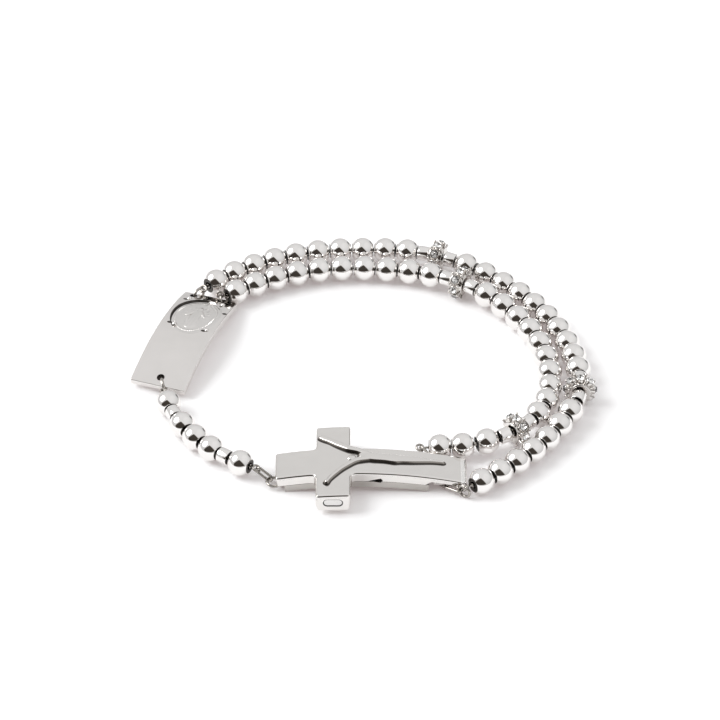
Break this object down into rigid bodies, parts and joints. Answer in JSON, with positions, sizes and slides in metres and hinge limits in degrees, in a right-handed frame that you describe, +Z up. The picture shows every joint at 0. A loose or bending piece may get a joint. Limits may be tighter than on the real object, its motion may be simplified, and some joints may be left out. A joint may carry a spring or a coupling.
{
  "type": "rosary bracelet",
  "caption": "Two-strand rosary bracelet of round steel beads and jewelled spacers, joined by a curved plate with an oval medal and a clasp in the form of a cross",
  "frame": {"origin": "on the surface the bracelet lies on, under the middle of its outline", "axes": "+X along the cross from its head to its foot, which is also the bracelet's longest way; +Y across the loop, away from the cross; +Z up"},
  "size_m": [0.0714, 0.0642, 0.0052],
  "materials": {
    "bead_steel": "mirror polished stainless steel",
    "setting_steel": "polished stainless steel",
    "wire": "polished stainless steel wire",
    "plate_steel": "polished stainless steel",
    "medal_steel": "struck stainless steel, darker in the hollows",
    "cross_steel": "polished stainless steel",
    "button_steel": "satin stainless steel",
    "crystal": "clear cut crystal"
  },
  "bodies": {
    "bracelet": {"outer_beads": "bead_steel", "inner_beads": "bead_steel", "outer_thread": "wire", "inner_thread": "wire", "front_thread": "wire", "front_bead_1": "bead_steel", "front_bead_2": "bead_steel", "front_bead_3": "bead_steel", "front_bead_4": "bead_steel", "front_bead_5": "bead_steel", "outer_tube_1": "bead_steel", "outer_tube_2": "bead_steel", "outer_tube_3": "bead_steel", "outer_tube_4": "bead_steel", "inner_tube_1": "bead_steel", "inner_tube_2": "bead_steel", "inner_tube_3": "bead_steel", "inner_tube_4": "bead_steel", "front_tube_1": "bead_steel", "front_tube_2": "bead_steel", "outer_rondelle_1": "setting_steel", "outer_rondelle_2": "setting_steel", "inner_rondelle_1": "setting_steel", "inner_rondelle_2": "setting_steel", "outer_crystals_1": "crystal", "outer_crystals_2": "crystal", "inner_crystals_1": "crystal", "inner_crystals_2": "crystal", "plate": "plate_steel", "medal": "medal_steel", "plate_ring_near": "wire", "plate_link_near": "wire", "plate_ring_left": "wire", "plate_ring_right": "wire", "cross_lid": "cross_steel", "cross_base": "cross_steel", "head_ring": "wire", "head_link": "wire", "foot_ring_a": "wire", "foot_link": "wire", "foot_ring_b": "wire", "foot_link_back": "wire"},
    "front_button": {"button_front": "button_steel"},
    "back_button": {"button_back": "button_steel"}
  },
  "joints": [
    {"name": "press_front_button", "type": "slide", "parent": "bracelet", "child": "front_button", "axis": [0, 1, 0], "range_m": [0, 0.0004], "stiffness_N_per_m": 100, "springref_m": -0.0002},
    {"name": "press_back_button", "type": "slide", "parent": "bracelet", "child": "back_button", "axis": [0, -1, 0], "range_m": [0, 0.0004], "stiffness_N_per_m": 100, "springref_m": -0.0002}
  ]
}
